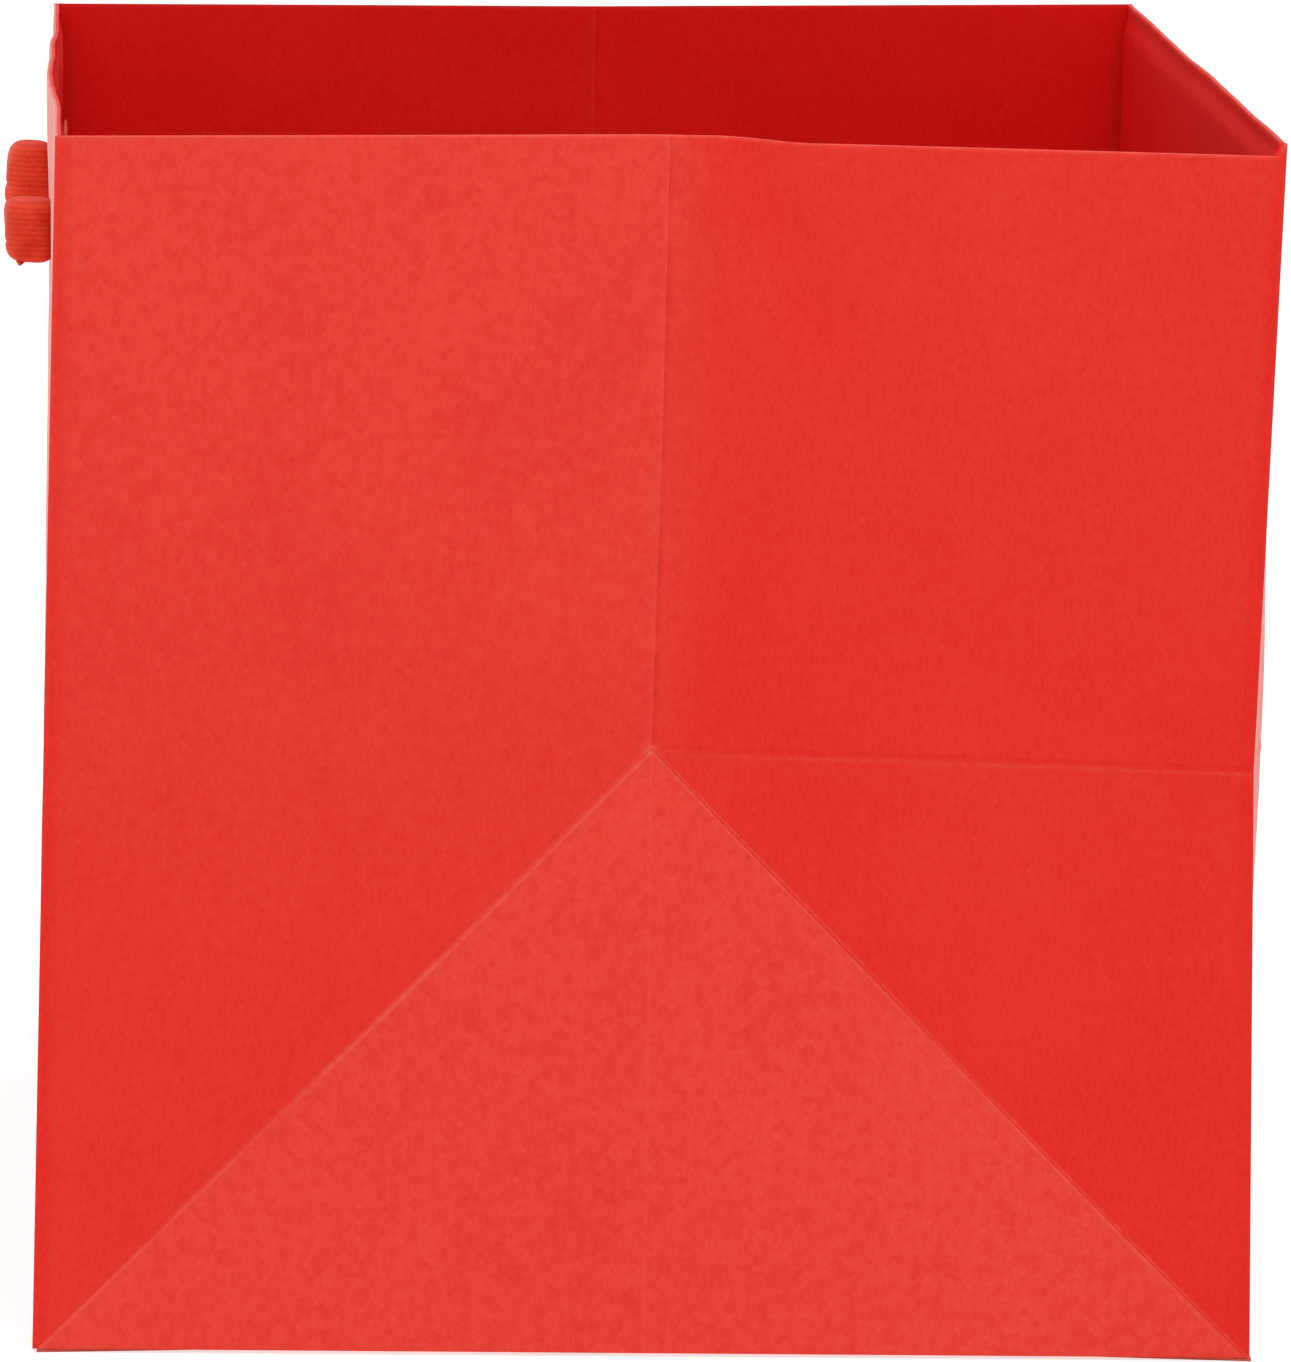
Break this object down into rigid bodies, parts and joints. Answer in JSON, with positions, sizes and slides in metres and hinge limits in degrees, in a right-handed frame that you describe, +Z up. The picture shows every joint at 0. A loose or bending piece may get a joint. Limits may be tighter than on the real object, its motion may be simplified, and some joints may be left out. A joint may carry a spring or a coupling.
{
  "type": "paper carrier bag",
  "caption": "Small open-topped folded paper carrier bag with pleated side gussets, turned-in rim, loose base board and knotted ribbon handles; folds flat.",
  "frame": {"origin": "on the ground at the middle of the base", "axes": "+X along the bag's width, +Y from the front panel to the back panel, +Z up to the open mouth"},
  "size_m": [0.2, 0.1616, 0.15],
  "materials": {
    "red_paper": "matte uncoated red paper with a fine felt grain",
    "ribbon": "red ribbed grosgrain",
    "grey_card": "matte grey-brown board"
  },
  "bodies": {
    "base": {"bottom_flap_back": "red_paper", "bottom_flap_front": "red_paper", "bottom_tuck_left": "red_paper", "bottom_tuck_right": "red_paper"},
    "board": {"bottom_board": "grey_card"},
    "back_lower": {"back_panel_lower": "red_paper", "seam_flap_lower": "red_paper"},
    "back_upper": {"back_panel_upper": "red_paper", "seam_flap_upper": "red_paper", "back_hem": "red_paper", "back_mouth_card": "grey_card", "back_knot_left": "ribbon", "back_knot_right": "ribbon"},
    "front": {"front_panel": "red_paper", "front_hem": "red_paper", "front_mouth_card": "grey_card", "front_knot_left": "ribbon", "front_knot_right": "ribbon"},
    "back_handle": {"back_handle_ribbon": "ribbon"},
    "front_handle": {"front_handle_ribbon": "ribbon"},
    "gusset_left_rear": {"gusset_left_rear_fold": "red_paper", "gusset_left_rear_hem": "red_paper"},
    "gusset_left_front": {"gusset_left_front_fold": "red_paper", "gusset_left_front_hem": "red_paper"},
    "gusset_left_base": {"gusset_left_bottom_triangle": "red_paper", "gusset_left_corner_triangle": "red_paper"},
    "gusset_right_rear": {"gusset_right_rear_fold": "red_paper", "gusset_right_rear_hem": "red_paper"},
    "gusset_right_front": {"gusset_right_front_fold": "red_paper", "gusset_right_front_hem": "red_paper"},
    "gusset_right_base": {"gusset_right_bottom_triangle": "red_paper", "gusset_right_corner_triangle": "red_paper"}
  },
  "joints": [
    {"name": "fold_flat", "type": "hinge", "parent": "base", "child": "back_lower", "pos_m": [0, 0.07465, 0.0029], "axis": [1, 0, 0], "range_deg": [0, 86]},
    {"name": "back_level_crease", "type": "hinge", "parent": "back_lower", "child": "back_upper", "pos_m": [0, 0.075, 0.075], "axis": [1, 0, 0], "range_deg": [-172, 0]},
    {"name": "right_rear_corner", "type": "hinge", "parent": "back_upper", "child": "gusset_right_rear", "pos_m": [0.0993, 0.0737, 0.075], "axis": [0, 0, 1], "range_deg": [-86, 0]},
    {"name": "right_centre_crease", "type": "hinge", "parent": "gusset_right_rear", "child": "gusset_right_front", "pos_m": [0.1, 0, 0.075], "axis": [0, 0, 1], "range_deg": [0, 172]},
    {"name": "right_base_crease", "type": "hinge", "parent": "base", "child": "gusset_right_base", "pos_m": [0.09965, 0, 0.0021], "axis": [0, 1, 0], "range_deg": [-86, 0], "deforming": ["gusset_right_corner_triangle"]},
    {"name": "left_rear_corner", "type": "hinge", "parent": "back_upper", "child": "gusset_left_rear", "pos_m": [-0.0993, 0.0737, 0.075], "axis": [0, 0, 1], "range_deg": [0, 86]},
    {"name": "left_centre_crease", "type": "hinge", "parent": "gusset_left_rear", "child": "gusset_left_front", "pos_m": [-0.1, 0, 0.075], "axis": [0, 0, 1], "range_deg": [-172, 0]},
    {"name": "left_base_crease", "type": "hinge", "parent": "base", "child": "gusset_left_base", "pos_m": [-0.09965, 0, 0.0021], "axis": [0, 1, 0], "range_deg": [0, 86], "deforming": ["gusset_left_corner_triangle"]},
    {"name": "left_front_corner", "type": "hinge", "parent": "gusset_left_front", "child": "front", "pos_m": [-0.0993, -0.0737, 0.075], "axis": [0, 0, 1], "range_deg": [0, 86]},
    {"name": "back_handle_swing", "type": "hinge", "parent": "back_upper", "child": "back_handle", "pos_m": [0, 0.0731, 0.133], "axis": [-1, 0, 0], "range_deg": [0, 180]},
    {"name": "front_handle_swing", "type": "hinge", "parent": "front", "child": "front_handle", "pos_m": [0, -0.0731, 0.133], "axis": [1, 0, 0], "range_deg": [0, 180]},
    {"name": "board_lift", "type": "slide", "parent": "base", "child": "board", "axis": [0, 0, 1], "range_m": [0, 0.27]}
  ],
  "couplings": [
    {"joint": "back_level_crease", "follows": "fold_flat", "ratio": -2},
    {"joint": "right_rear_corner", "follows": "fold_flat", "ratio": -1},
    {"joint": "right_centre_crease", "follows": "fold_flat", "ratio": 2},
    {"joint": "right_base_crease", "follows": "fold_flat", "ratio": -1},
    {"joint": "left_rear_corner", "follows": "fold_flat", "ratio": 1},
    {"joint": "left_centre_crease", "follows": "fold_flat", "ratio": -2},
    {"joint": "left_base_crease", "follows": "fold_flat", "ratio": 1},
    {"joint": "left_front_corner", "follows": "fold_flat", "ratio": 1}
  ]
}
